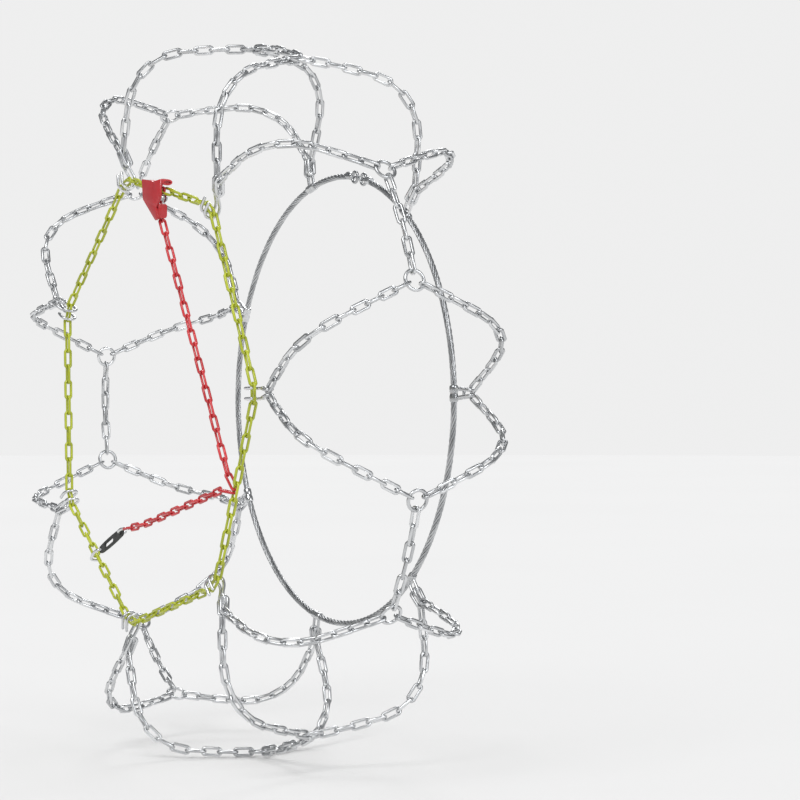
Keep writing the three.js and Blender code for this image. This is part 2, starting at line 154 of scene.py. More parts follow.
class Recipe:
    # one node material
    def __init__(self, name):
        self.material = bpy.data.materials.new(name)
        self.material.use_nodes = True
        self.tree = self.material.node_tree
        self.tree.nodes.clear()

    def feed(self, socket, value):
        if isinstance(value, Flow):
            self.tree.links.new(value.socket, socket)
        elif isinstance(value, tuple) and len(value) == 3 and socket.type == "RGBA":
            socket.default_value = (*value, 1)
        else:
            socket.default_value = value

    def node(self, kind, settings=None, inputs=None, output=0):
        made = self.tree.nodes.new(kind)
        for key, value in (settings or {}).items():
            if key == "stops":
                ramp = made.color_ramp
                while len(ramp.elements) < len(value):
                    ramp.elements.new(0.5)
                for element, (place, shade) in zip(ramp.elements, value):
                    element.position = place
                    element.color = (shade, shade, shade, 1)
            else:
                setattr(made, key, value)
        for key, value in (inputs or {}).items():
            self.feed(made.inputs[key], value)
        return Flow(self, made.outputs[output])

    def place(self):
        return self.node("ShaderNodeTexCoord", output="Object")

    def noise(self, scale, detail=3.0, roughness=0.55):
        return self.node(
            "ShaderNodeTexNoise",
            {},
            {"Vector": self.place(), "Scale": scale, "Detail": detail, "Roughness": roughness},
        )

    def steps(self, flow, stops):
        return self.node("ShaderNodeValToRGB", {"stops": stops}, {"Fac": flow})

    def mix(self, share, a, b):
        made = self.tree.nodes.new("ShaderNodeMix")
        made.data_type = "RGBA"
        self.feed(made.inputs[0], share)
        self.feed(made.inputs[6], a)
        self.feed(made.inputs[7], b)
        return Flow(self, made.outputs[2])

    def held(self, name):
        return self.node("ShaderNodeAttribute", {"attribute_name": name}, output="Fac")

    def finish(self, constants, flows, height=None, bump=0.2, distance=0.0003):
        shader = self.tree.nodes.new("ShaderNodeBsdfPrincipled")
        for key, value in {**constants, **flows}.items():
            self.feed(shader.inputs[key], value)
        if height is not None:
            normal = self.node(
                "ShaderNodeBump", {}, {"Height": height, "Strength": bump, "Distance": distance}
            )
            self.feed(shader.inputs["Normal"], normal)
        out = self.tree.nodes.new("ShaderNodeOutputMaterial")
        self.tree.links.new(shader.outputs[0], out.inputs[0])
        return self.material


# finishes


def zincPlating(name, settings):
    r = Recipe(name)
    cloud = r.noise(settings["cloudScale"])
    grain = r.noise(settings["grainScale"], 5.0, 0.7)
    tone = r.held("tone")
    shade = r.steps(cloud * 0.55 + tone * 0.45, [(0.3, 0.0), (0.72, 1.0)])
    plated = r.mix(shade, settings["dull"], settings["bright"])
    worn = r.steps(r.held("rub") * 0.75 + grain * 0.5, [(0.78, 0.0), (0.98, 1.0)])
    color = r.mix(worn, plated, settings["rubbed"])
    rough = settings["rough"] + grain * 0.16 - worn * 0.12 + cloud * 0.06
    return r.finish(
        {"Metallic": 1.0, "Specular IOR Level": 0.5},
        {"Base Color": color, "Roughness": rough},
        grain * 0.6 + cloud * 0.4,
        settings["bump"],
    )


def paintedSteel(name, settings):
    r = Recipe(name)
    cloud = r.noise(settings["cloudScale"])
    orangePeel = r.noise(settings["peelScale"], 2.0, 0.5)
    grain = r.noise(settings["grainScale"], 5.0, 0.75)
    tone = r.held("tone")
    coat = r.mix(cloud * 0.6 + tone * 0.4, settings["deep"], settings["light"])
    bare = r.steps(r.held("rub") * 0.62 + grain * 0.62, [(0.86, 0.0), (0.9, 1.0)])
    color = r.mix(bare, coat, settings["bare"])
    return r.finish(
        {"Specular IOR Level": 0.5, "Coat Roughness": 0.18},
        {
            "Base Color": color,
            "Metallic": bare * 0.9,
            "Roughness": settings["rough"] + grain * 0.14 - bare * 0.06,
            "Coat Weight": (1 - bare) * settings["coat"],
        },
        orangePeel * 0.7 - bare * 0.5,
        settings["bump"],
    )


def mouldedRubber(name, settings):
    r = Recipe(name)
    cloud = r.noise(settings["cloudScale"])
    grain = r.noise(settings["grainScale"], 6.0, 0.8)
    dust = r.steps(cloud * 0.6 + grain * 0.4, [(0.45, 0.0), (0.7, 1.0)])
    color = r.mix(dust * 0.6, settings["deep"], settings["dusty"])
    return r.finish(
        {"Metallic": 0.0, "Specular IOR Level": 0.4},
        {"Base Color": color, "Roughness": 0.55 + grain * 0.25},
        grain,
        settings["bump"],
    )


zincChain = zincPlating(
    "zincChain",
    {
        "dull": (0.55, 0.56, 0.57),
        "bright": (0.82, 0.83, 0.84),
        "rubbed": (0.91, 0.91, 0.90),
        "rough": 0.23,
        "cloudScale": 60.0,
        "grainScale": 900.0,
        "bump": 0.25,
    },
)
brightSteel = zincPlating(
    "brightSteel",
    {
        "dull": (0.46, 0.47, 0.48),
        "bright": (0.72, 0.73, 0.74),
        "rubbed": (0.85, 0.85, 0.84),
        "rough": 0.16,
        "cloudScale": 90.0,
        "grainScale": 700.0,
        "bump": 0.18,
    },
)
cableSteel = zincPlating(
    "cableSteel",
    {
        "dull": (0.36, 0.37, 0.38),
        "bright": (0.60, 0.61, 0.62),
        "rubbed": (0.74, 0.74, 0.73),
        "rough": 0.26,
        "cloudScale": 50.0,
        "grainScale": 1200.0,
        "bump": 0.3,
    },
)
yellowPaint = paintedSteel(
    "yellowPaint",
    {
        "deep": (0.25, 0.29, 0.004),
        "light": (0.50, 0.55, 0.03),
        "bare": (0.55, 0.56, 0.54),
        "rough": 0.28,
        "coat": 0.45,
        "cloudScale": 70.0,
        "peelScale": 500.0,
        "grainScale": 650.0,
        "bump": 0.15,
    },
)
redPaint = paintedSteel(
    "redPaint",
    {
        "deep": (0.34, 0.004, 0.010),
        "light": (0.70, 0.036, 0.044),
        "bare": (0.55, 0.54, 0.54),
        "rough": 0.30,
        "coat": 0.5,
        "cloudScale": 70.0,
        "peelScale": 420.0,
        "grainScale": 650.0,
        "bump": 0.15,
    },
)
strapRubber = mouldedRubber(
    "strapRubber",
    {
        "deep": (0.030, 0.032, 0.031),
        "dusty": (0.085, 0.088, 0.085),
        "cloudScale": 120.0,
        "grainScale": 1600.0,
        "bump": 0.35,
    },
)
print("finishes made")


# shapes


def newShape():
    bm = bmesh.new()
    bm.verts.layers.float.new("tone")  # shade of one link or wire
    bm.verts.layers.float.new("rub")  # 1 where links rub on each other
    return bm


def finishPiece(bm, name, material, body, nodes=()):
    bmesh.ops.remove_doubles(bm, verts=bm.verts, dist=1e-4)
    bmesh.ops.recalc_face_normals(bm, faces=bm.faces)
    bmesh.ops.scale(bm, vec=(mm, mm, mm), verts=bm.verts)
    mesh = bpy.data.meshes.new(name)
    bm.to_mesh(mesh)
    bm.free()
    mesh.materials.append(material)
    piece = bpy.data.objects.new(name, mesh)
    scene.collection.objects.link(piece)
    if body:
        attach(piece, body)
    if nodes:
        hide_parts(*nodes)
    return piece


def shadeSmooth(piece, angle=None):
    for face in piece.data.polygons:
        face.use_smooth = True
    if angle is not None:
        piece.data.set_sharp_from_angle(angle=math.radians(angle))


def axes(forward, up):
    # a turn whose X runs forward, with Y across and Z as near up as it can be
    x = forward.normalized()
    z = (up - x * up.dot(x)).normalized()
    y = z.cross(x)
    return Matrix((x, y, z)).transposed()


def linkTemplate(pitch, width, wire):
    # an oval welded link along X, its width along Y
    bm = newShape()
    major = (width - wire) / 2
    stretch = (pitch + wire) / 2 - major
    ring = bmesh.ops.create_circle(
        bm,
        cap_ends=False,
        segments=6,
        radius=wire / 2,
        matrix=Matrix.Rotation(math.radians(15), 4, "Z")
        @ Matrix.Translation((major, 0, 0))
        @ Matrix.Rotation(math.radians(90), 4, "X"),
    )["verts"]
    edges = [e for e in bm.edges if e.verts[0] in ring]
    bmesh.ops.spin(
        bm,
        geom=[*ring, *edges],
        cent=(0, 0, 0),
        axis=(0, 0, 1),
        angle=2 * math.pi,
        steps=12,
        use_merge=True,
        use_duplicate=False,
    )
    rub = bm.verts.layers.float["rub"]
    for v in bm.verts:
        far = abs(v.co.x) / major
        inside = 1 - min(1, max(0, (math.hypot(v.co.x, v.co.y) - major) / (wire / 2) * 0.5 + 0.5))
        v[rub] = max(0.0, far - 0.3) * (0.45 + 0.55 * inside)
    bmesh.ops.translate(bm, vec=(stretch, 0, 0), verts=[v for v in bm.verts if v.co.x > 0.01])
    bmesh.ops.translate(bm, vec=(-stretch, 0, 0), verts=[v for v in bm.verts if v.co.x < 0.01])
    bmesh.ops.recalc_face_normals(bm, faces=bm.faces)
    mesh = bpy.data.meshes.new("linkTemplate")
    bm.to_mesh(mesh)
    bm.free()
    return mesh


class Route:
    # a chain's line: points with the direction away from the tyre at each
    def __init__(self, points, ups):
        self.points = points
        self.ups = ups
        self.lengths = [0.0]
        for a, b in zip(points, points[1:]):
            self.lengths.append(self.lengths[-1] + (b - a).length)
        self.total = self.lengths[-1]

    def at(self, distance):
        i = 1
        while i < len(self.lengths) - 1 and self.lengths[i] < distance:
            i += 1
        share = (distance - self.lengths[i - 1]) / (self.lengths[i] - self.lengths[i - 1])
        point = self.points[i - 1].lerp(self.points[i], share)
        return point, self.ups[i - 1].lerp(self.ups[i], min(1, max(0, share)))


def layLinks(bm, route, start, end, spec, roll=0.0, count=None, lean=None):
    # links whose contact points lie on the route, each turned a quarter from the last
    count = count or round((end - start) / spec["pitch"])
    pitch = (end - start) / count
    template = linkTemplate(pitch, spec["width"], spec["wire"])
    tone = bm.verts.layers.float["tone"]
    for i in range(count):
        a, _ = route.at(start + pitch * i)
        b, _ = route.at(start + pitch * (i + 1))
        _, up = route.at(start + pitch * (i + 0.5))
        before = len(bm.verts)
        bm.from_mesh(template)
        bm.verts.ensure_lookup_table()
        fresh = bm.verts[before:]
        turn = roll + math.pi / 2 * (i % 2) + (lean(i, count) if lean else 0)
        turn += math.radians(chance.uniform(-spec["slack"], spec["slack"]))
        place = Matrix.Translation((a + b) / 2) @ (
            axes(b - a, up).to_4x4() @ Matrix.Rotation(turn, 4, "X")
        )
        bmesh.ops.transform(bm, matrix=place, verts=fresh)
        shade = chance.random()
        for v in fresh:
            v[tone] = shade
    bpy.data.meshes.remove(template)
    return pitch


def smoothLine(points, pieces):
    # a smooth curve through the points
    ends = [points[0] * 2 - points[1], *points, points[-1] * 2 - points[-2]]
    line = []
    for i in range(1, len(ends) - 2):
        p0, p1, p2, p3 = ends[i - 1 : i + 3]
        for j in range(pieces):
            t = j / pieces
            line.append(
                0.5
                * (
                    2 * p1
                    + (p2 - p0) * t
                    + (2 * p0 - 5 * p1 + 4 * p2 - p3) * t * t
                    + (3 * p1 - p0 - 3 * p2 + p3) * t**3
                )
            )
    return [*line, points[-1].copy()]


def sweep(bm, line, radius, sides=10, girths=None, closed=False, domed=True):
    # a round section drawn along the line; girths scales it from point to point
    girths = list(girths or [1.0] * len(line))
    line = list(line)
    if domed and not closed:
        first = (line[0] - line[1]).normalized() * radius
        last = (line[-1] - line[-2]).normalized() * radius
        front = [line[0] + first * 0.85, line[0] + first * 0.5]
        back = [line[-1] + last * 0.5, line[-1] + last * 0.85]
        line = [*front, *line, *back]
        girths = [0.42 * girths[0], 0.84 * girths[0], *girths, 0.84 * girths[-1], 0.42 * girths[-1]]
    tangents = []
    for i in range(len(line)):
        a = line[i - 1] if i or closed else line[0]
        b = line[(i + 1) % len(line)] if i + 1 < len(line) or closed else line[-1]
        tangents.append((b - a).normalized())
    across = tangents[0].orthogonal().normalized()
    places = []
    for point, tangent, girth in zip(line, tangents, girths):
        across = (across - tangent * across.dot(tangent)).normalized()
        turn = Matrix((across, tangent.cross(across), tangent)).transposed().to_4x4()
        places.append(Matrix.Translation(point) @ turn @ Matrix.Diagonal((girth, girth, 1, 1)))
    tone = bm.verts.layers.float["tone"]
    shade = chance.random()
    verts = bmesh.ops.create_circle(
        bm, cap_ends=domed and not closed, segments=sides, radius=radius, matrix=places[0]
    )["verts"]
    loop = list({e for v in verts for e in v.link_edges})
    firstLoop = loop
    for v in verts:
        v[tone] = shade
    for before, after in zip(places, places[1:]):
        made = bmesh.ops.extrude_edge_only(bm, edges=loop)["geom"]
        fresh = [g for g in made if isinstance(g, bmesh.types.BMVert)]
        loop = [g for g in made if isinstance(g, bmesh.types.BMEdge) and all(v in fresh for v in g.verts)]
        bmesh.ops.transform(bm, matrix=after @ before.inverted(), verts=fresh)
        for v in fresh:
            v[tone] = shade
    if closed:
        bmesh.ops.bridge_loops(bm, edges=[*loop, *firstLoop])
    elif domed:
        bmesh.ops.edgeloop_fill(bm, edges=loop)


def sheetPlate(bm, loops, y0, y1, rim=0.4, segments=2):
    # outlines in the wheel's plane, the first the outside and the rest holes, filled from y0 to y1
    edges = []
    for outline in loops:
        verts = [bm.verts.new((p.x, y0, p.z)) for p in outline]
        edges += [bm.edges.new((verts[i - 1], verts[i])) for i in range(len(verts))]
    filled = bmesh.ops.triangle_fill(bm, use_beauty=True, use_dissolve=False, edges=edges)
    faces = [g for g in filled["geom"] if isinstance(g, bmesh.types.BMFace)]
    made = bmesh.ops.extrude_face_region(bm, geom=faces)["geom"]
    fresh = [g for g in made if isinstance(g, bmesh.types.BMVert)]
    bmesh.ops.translate(bm, vec=(0, y1 - y0, 0), verts=fresh)
    body = {f for v in fresh for f in v.link_faces} | {f for e in edges for f in e.link_faces}
    body |= set(faces)
    bmesh.ops.recalc_face_normals(bm, faces=list(body))
    sharp = {e for f in body for e in f.edges if len(e.link_faces) == 2 and e.calc_face_angle() > 0.9}
    flat = [e for e in sharp if abs(e.verts[0].co.y - e.verts[1].co.y) < 1e-5]
    bmesh.ops.bevel(
        bm,
        geom=flat,
        offset=rim,
        segments=segments,
        profile=0.5,
        affect="EDGES",
        material=-1,
        clamp_overlap=True,
    )


def turned(bm, profile, centre, steps=40):
    # a profile of [radius, y] spun about an axle-wise line through centre
    verts = [bm.verts.new((centre.x + r, centre.y + y, centre.z)) for r, y in profile]
    edges = [bm.edges.new(pair) for pair in zip(verts, verts[1:])]
    bmesh.ops.spin(
        bm,
        geom=[*verts, *edges],
        cent=centre,
        axis=(0, 1, 0),
        angle=2 * math.pi,
        steps=steps,
        use_merge=True,
        use_duplicate=False,
    )


# cross chains

crossChain = {"pitch": 15.55, "width": 10.3, "wire": 3.2, "slack": 3.0}
treadRing = {"mean": 9.6, "wire": 3.4}
hook = {
    "wire": 3.0,
    "spacing": 9.5,
    "reach": 18.4,
    "tip": 9.0,
    "lean": 5.0,
    "drop": 3.9,  # the side chain's middle link cuts the corner by this
    "bend": 7.2,
}


def layProfile():
    # half section from the tread's middle to the hook: [y, radius]
    lay = wheel["radius"] + wheel["lift"]
    width = wheel["halfWidth"] + wheel["lift"]
    bend = wheel["shoulder"] + wheel["lift"]
    flat = width - bend
    edge = lay - wheel["crown"]
    endRadius = wheel["sideRadius"] + hook["reach"] + 7
    endOffset = wheel["sideOffset"] + 1.2
    n = 24
    shares = [i / n for i in range(n + 1)]
    tread = [(flat * t, lay - wheel["crown"] * t * t) for t in shares]
    shoulder = [
        (flat + bend * math.sin(math.pi / 2 * t), edge - bend * (1 - math.cos(math.pi / 2 * t)))
        for t in shares[1:]
    ]
    top = edge - bend
    wall = [(width + (endOffset - width) * t * t, top + (endRadius - top) * t) for t in shares[1:]]
    return [*tread, *shoulder, *wall]


def shortestLine():
    # the shortest way over the tyre from a tread ring to its hook: (y, radius, angle, normal)
    profile = layProfile()

    def walk(constant):
        angle = 0
        samples = [(*profile[0], 0.0, (0.0, 1.0))]
        for (y0, r0), (y1, r1) in zip(profile, profile[1:]):
            r = (r0 + r1) / 2
            step = math.hypot(y1 - y0, r1 - r0)
            angle += step * constant / math.sqrt(r * r - constant * constant) / r
            samples.append((y1, r1, angle, ((r0 - r1) / step, (y1 - y0) / step)))
        return samples

    low, high = 0.0, profile[-1][1] * 0.999
    for _ in range(60):
        middle = (low + high) / 2
        if walk(middle)[-1][2] < ringSpread:
            low = middle
        else:
            high = middle
    return [(y, r, ringSpread - angle, normal) for y, r, angle, normal in walk(low)]


overTyre = shortestLine()


def crossRoute(k, side, turn):
    points, ups = [], []
    for y, r, angle, (ny, nr) in overTyre:
        a = stationAngle(k) + turn * angle
        points.append(polar(r, a, side * y))
        ups.append(polar(nr, a, side * ny))
    away = hook["lean"] - hook["bend"] if side < 0 else 0
    points.append(atStation(k, hook["reach"] - 1.5, turn * 3.3, away, side))
    ups.append(Vector((0, side, 0)))
    return Route(points, ups)


insideRing = treadRing["mean"] - (treadRing["wire"] + crossChain["wire"]) / 2
for k in range(wheel["stations"]):
    for side, name in ((-1, "outer"), (1, "inner")):
        bm = newShape()
        for turn in (1, -1):
            route = crossRoute(k, side, turn)
            start = insideRing + crossChain["wire"] / 2
            end = route.total + hook["wire"] / 2
            layLinks(bm, route, start, end, crossChain, roll=math.pi / 2, count=13)
        title = f"{name}_cross_chain_{k + 1}"
        piece = finishPiece(bm, f"{name}_cross_links_{k + 1}", zincChain, "net", [title])
        shadeSmooth(piece)
    # the run along the tread to the next station's ring
    lay = wheel["radius"] + wheel["lift"]
    angles = [stationAngle(k) + ringSpread, stationAngle(k + 1) - ringSpread]
    steps = [angles[0] + (angles[1] - angles[0]) * i / 8 for i in range(9)]
    route = Route([polar(lay, a, 0) for a in steps], [polar(1, a, 0) for a in steps])
    bm = newShape()
    start = insideRing + crossChain["wire"] / 2
    # the run stands at its first ring and leans over link by link to the next
    layLinks(
        bm,
        route,
        start,
        route.total - start,
        crossChain,
        roll=math.pi / 2,
        count=6,
        lean=lambda i, count: -math.radians(72) * i / (count - 1),
    )
    piece = finishPiece(bm, f"tread_links_{k + 1}", zincChain, "net", [f"tread_chain_{k + 1}"])
    shadeSmooth(piece)
print("cross chains laid")


def ringLine(centre, normal, radius, count=28):
    across = normal.orthogonal().normalized()
    other = normal.cross(across)
    return [
        centre
        + across * radius * math.cos(2 * math.pi * i / count)
        + other * radius * math.sin(2 * math.pi * i / count)
        for i in range(count)
    ]


for number in range(1, 2 * wheel["stations"] + 1):
    joint = jointAt[f"tread_ring_{number}_spin"]
    bm = newShape()
    centre = Vector(joint["pos_m"]) / mm
    line = ringLine(centre, Vector(joint["axis"]).normalized(), treadRing["mean"])
    sweep(bm, line, treadRing["wire"] / 2, closed=True)
    piece = finishPiece(
        bm, f"welded_ring_{number}", zincChain, joint["child"], [f"tread_ring_{number}"]
    )
    shadeSmooth(piece)


def outerHook(k):
    half = hook["spacing"] / 2
    lean = hook["lean"] - hook["bend"]
    bend, drop = hook["bend"], hook["drop"]

    def at(radial, along, away):
        return atStation(k, radial, along, away, -1)

    def prong(along):
        curve = [
            at(-drop - bend * math.sin(math.pi * i / 8), along, bend * math.cos(math.pi * i / 8))
            for i in range(9)
        ]
        tip = at(hook["tip"] - drop, along, bend - 0.6)
        return [tip, *curve, at(2, along, lean - 4), at(hook["reach"] - half - 3, along, lean)]

    closedEnd = [
        at(hook["reach"] - half + half * math.sin(math.pi * i / 6), half * math.cos(math.pi * i / 6), lean)
        for i in range(7)
    ]
    points = [*prong(half), *closedEnd, *reversed(prong(-half))]
    return smoothLine(points, 3)


for k in range(wheel["stations"]):
    bm = newShape()
    sweep(bm, outerHook(k), hook["wire"] / 2)
    piece = finishPiece(bm, f"hairpin_hook_{k + 1}", zincChain, "net", [f"outer_hook_{k + 1}"])
    shadeSmooth(piece)
print("rings and outer hooks made")

# the tensioner's own axes

tensionerAngle = stationAngle(1.5)
tensionerMiddle = polar(wheel["sideRadius"] * math.cos(halfTurn), tensionerAngle, 0)
alongAxis = Vector((math.sin(tensionerAngle), 0, -math.cos(tensionerAngle)))
outAxis = Vector((math.cos(tensionerAngle), 0, math.sin(tensionerAngle)))
redPlane = -112.2


def inTensioner(along, out, y=redPlane):
    return tensionerMiddle + alongAxis * along + outAxis * out + Vector((0, y, 0))


tensioner = {
    "sheet": 2.0,
    "gap": 11.6,
    "roller": (-1.7, -5.9),
    "rollerRadius": 3.2,
    "rollerFlange": 4.6,
    "studRadius": 1.5,
    "pawl": (-22.5, -6.0),
    "pawlPinRadius": 2.0,
    "anchor": (-25.0, 2.0),
    "anchorRadius": 2.5,
    "meeting": (5.3, 2.1),  # the yellow chain turns into the red one here
}

# side chain

sideChain = {"pitch": 16.4, "width": 9.4, "wire": 2.8, "slack": 4.0}
redChain = {"pitch": 16.2, "width": 8.6, "wire": 2.6, "slack": 4.0}


def corner(k):
    return polar(wheel["sideRadius"], stationAngle(k), -wheel["sideOffset"])


outward = Vector((0, -1, 0))
chordLength = 2 * wheel["sideRadius"] * math.sin(halfTurn)
cornerReach = 0.5 * (chordLength - 11 * sideChain["pitch"])  # a corner link's end along each straight

bm = newShape()


def sideRun(a, b, count, skipA, skipB, lean=None):
    route = Route([a, b], [outward, outward])
    layLinks(bm, route, skipA, route.total - skipB, sideChain, roll=math.pi / 2, count=count, lean=lean)


def bothEnds(i, count):
    # a run that lies turned half way between flat and standing, upright at its two ends
    return -math.pi / 4 * min(1, min(i, count - 1 - i) / 2)


def farEnd(i, count):
    return -math.pi / 4 * min(1, i / 2)


def toAnchor(i, count):
    return math.pi / 8 * i


# from the roller to the first corner, round the straights, and up to the anchor pin
order = [(1 - i) % wheel["stations"] for i in range(wheel["stations"])]
meeting = inTensioner(*tensioner["meeting"])
anchor = inTensioner(*tensioner["anchor"])
sideRun(corner(1), meeting, 5, cornerReach, 0, farEnd)
for a, b in zip(order, order[1:]):
    lean = bothEnds if {a, b} in ({4, 5}, {5, 6}) else None
    sideRun(corner(a), corner(b), 11, cornerReach, cornerReach, lean)
sideRun(corner(2), anchor, 4, cornerReach, -tensioner["anchorRadius"], toAnchor)
for k in order:  # the link that lies in each hook's bend
    a = corner(k).lerp(corner(k - 1), cornerReach / chordLength)
    b = corner(k).lerp(corner(k + 1), cornerReach / chordLength)
    layLinks(bm, Route([a, b], [outward, outward]), 0, (b - a).length, sideChain, count=1)
piece = finishPiece(bm, "side_chain_links", yellowPaint, "net", ["side_chain"])
shadeSmooth(piece)
print("side chain laid")

# red chains

loopMiddle = corner(0).lerp(corner(6), 0.5)
chordOut = (loopMiddle - Vector((0, loopMiddle.y, 0))).normalized()
loopWire = loopMiddle - chordOut * (sideChain["width"] - sideChain["wire"]) / 2
throughLoop = loopWire + chordOut * (sideChain["wire"] / 2)  # where the red links bear on the yellow wire
chordDown = (corner(6) - corner(0)).normalized()


def tensionRoute():
    rollerAlong, rollerOut = tensioner["roller"]
    wrap = tensioner["rollerRadius"] + redChain["width"] / 2 + 0.5
    end = throughLoop - chordDown * 2.2
    away = end - inTensioner(rollerAlong, rollerOut)
    across, out = away.dot(alongAxis), away.dot(outAxis)
    leave = math.atan2(out, across) - math.acos(wrap / math.hypot(across, out)) + 2 * math.pi
    arc = [
        inTensioner(rollerAlong + wrap * math.cos(a), rollerOut + wrap * math.sin(a))
        for a in [math.pi / 2 + (leave - math.pi / 2) * i / 16 for i in range(17)]
    ]
    flatEnd = Vector((end.x, redPlane + 3, end.z))
    lastJoint = flatEnd + (arc[-1] - flatEnd).normalized() * (redChain["pitch"] - 1)
    points = [meeting, *arc, lastJoint, end]
    return Route(points, [outward] * len(points))


bm = newShape()
route = tensionRoute()
count = round(route.total / redChain["pitch"])
count += count % 2  # the last link stands across the yellow wire
layLinks(bm, route, 0, route.total, redChain, count=count)
piece = finishPiece(bm, "tension_chain_links", redPaint, "net", ["tension_chain"])
shadeSmooth(piece)
print("tension chain:", count, "links,", round(route.total), "mm")

strap = {
    "rise": 22.0,
    "length": 60.6,
    "waist": 9.4,
    "end": 7.6,
    "thickness": 3.0,
    "hole": 2.1,
    "slot": (24.0, 4.4),
    "toChain": 26.0,  # far hole to the side chain's centre
    "toTail": 11.5,  # near hole to the wire that the tail chain hangs on
}
rise = math.radians(strap["rise"])
strapAxis = Vector((-math.cos(rise), 0, -math.sin(rise)))
strapUp = Vector((-math.sin(rise), 0, math.cos(rise)))
catchPoint = corner(4).lerp(corner(5), 0.48)
farHole = Vector((catchPoint.x, redPlane, catchPoint.z)) - strapAxis * strap["toChain"]
holeSpacing = strap["length"] - strap["end"]
nearHole = farHole - strapAxis * holeSpacing

bm = newShape()
tailStart = throughLoop + chordDown * 2.2
tailEnd = nearHole - strapAxis * (strap["toTail"] - hook["wire"] / 2)
tailWay = [(0.055, 4.5), (0.12, 4.0), (0.5, 0.5), (0.8, -2.0)]  # share of the way, and lift
between = [tailStart.lerp(tailEnd, share) + Vector((0, 0, lift)) for share, lift in tailWay]
line = smoothLine([tailStart, *[Vector((p.x, redPlane, p.z)) for p in between], tailEnd], 6)
route = Route(line, [outward] * len(line))
count = round(route.total / redChain["pitch"])
count += 1 - count % 2
layLinks(bm, route, 0, route.total, redChain, roll=math.pi / 2, count=count)
piece = finishPiece(bm, "tail_chain_links", redPaint, "tail", ["tail_chain"])
shadeSmooth(piece)
print("tail chain:", count, "links,", round(route.total), "mm")

# strap and its hooks


def rubberStrap():
    def at(s, t):
        return nearHole + strapAxis * s + strapUp * t

    def halfWidth(s):
        swell = math.sin(math.pi * s / holeSpacing) ** 0.8
        return strap["end"] / 2 + (strap["waist"] - strap["end"]) / 2 * swell

    def ring(s, radius, n=20):
        angles = [2 * math.pi * i / n for i in range(n)]
        return [at(s + radius * math.cos(a), radius * math.sin(a)) for a in angles]

    end = strap["end"] / 2
    flank = [holeSpacing * i / 20 for i in range(21)]
    cap = [math.pi / 2 - math.pi * i / 12 for i in range(1, 12)]
    outline = [at(s, halfWidth(s)) for s in flank]
    outline += [at(holeSpacing + end * math.cos(a), end * math.sin(a)) for a in cap]
    outline += [at(s, -halfWidth(s)) for s in reversed(flank)]
    outline += [at(-end * math.cos(a), -end * math.sin(a)) for a in cap]
    length, width = strap["slot"]
    slot = []
    for i in range(24):
        a = 2 * math.pi * (i + 0.5) / 24
        push = math.copysign((length - width) / 2, math.cos(a))
        slot.append(at(holeSpacing * 0.6 + push + width / 2 * math.cos(a), width / 2 * math.sin(a)))
    bm = newShape()
    half = strap["thickness"] / 2
    holes = [ring(0, strap["hole"]), ring(holeSpacing, strap["hole"]), slot]
    sheetPlate(bm, [outline, *holes], redPlane - half, redPlane + half, 0.5, 2)
    return bm


strapPiece = finishPiece(
    rubberStrap(), "rubber_strap_leaf", strapRubber, None, ["rubber_strap"]
)
shadeSmooth(strapPiece, 50)
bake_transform(strapPiece, "strap", "strap_tip", start=tuple(nearHole * mm), end=tuple(farHole * mm))

face = strap["thickness"] / 2
clear = face + hook["wire"] / 2 + 1.2
throughHole = [(0, -clear), (0, 0), (0.2, face - 0.4), (2, clear)]


def strapWire(origin, direction, way):
    return smoothLine([origin + direction * s + outward * away for s, away in way], 6)


bm = newShape()
back = strap["toTail"]
way = [*throughHole, (back - 3.5, clear + 0.6), (back - 0.4, 2.6), (back, 0), (back - 1.2, -2.6)]
sweep(bm, strapWire(nearHole, -strapAxis, way), hook["wire"] / 2)
piece = finishPiece(bm, "swivel_hook_wire", brightSteel, "tail", ["strap_swivel_hook"])
shadeSmooth(piece)

bm = newShape()
lean = wheel["sideOffset"] + redPlane
bend, centre = 7.6, strap["toChain"]
way = [
    *throughHole,
    (7, clear + 0.8),
    (centre * 0.7, clear - 1),
    (centre, bend + lean),
    (centre + bend * 0.7, bend * 0.7 + lean),
    (centre + bend, lean),
    (centre + bend * 0.95, lean - 3),
]
sweep(bm, strapWire(farHole, strapAxis, way), hook["wire"] / 2)
piece = finishPiece(bm, "end_hook_wire", brightSteel, "strap_tip", ["strap_end_hook"])
shadeSmooth(piece)
print("strap and its hooks made")

# tensioner

cheekFront = redPlane - tensioner["gap"] / 2
cheekBack = redPlane + tensioner["gap"] / 2
outlines = {
    "front": [
        *[(-31.5, 8), (-9, 9.4), (-5, 8.6), (11, 13.5), (14, -4)],
        *[(7, -15), (10.4, -17), (13.4, -24.5), (8, -27.5), (-25, -11)],
    ],
    "back": [(-31, 7.8), (-14.5, 9), (-15.5, -12), (-25, -10.8)],
    "fold": [(-26.5, 7), (-14.5, 7.5), (-14.5, 9), (-26.5, 8.3)],
}


def roundedOutline(pairs, radius=1.2):
    # corners cut back a little so that the sheet's edge looks stamped
    points = [inTensioner(*pair) for pair in pairs]
    rounded = []
    for i, point in enumerate(points):
        start = point + (points[i - 1] - point).normalized() * radius
        end = point + (points[(i + 1) % len(points)] - point).normalized() * radius
        rounded += [start, point.lerp((start + end) / 2, 0.5), end]
    return rounded


def pinHole(centre, radius, n=20):
    angles = [2 * math.pi * i / n for i in range(n)]
    return [inTensioner(centre[0] + radius * math.cos(a), centre[1] + radius * math.sin(a)) for a in angles]


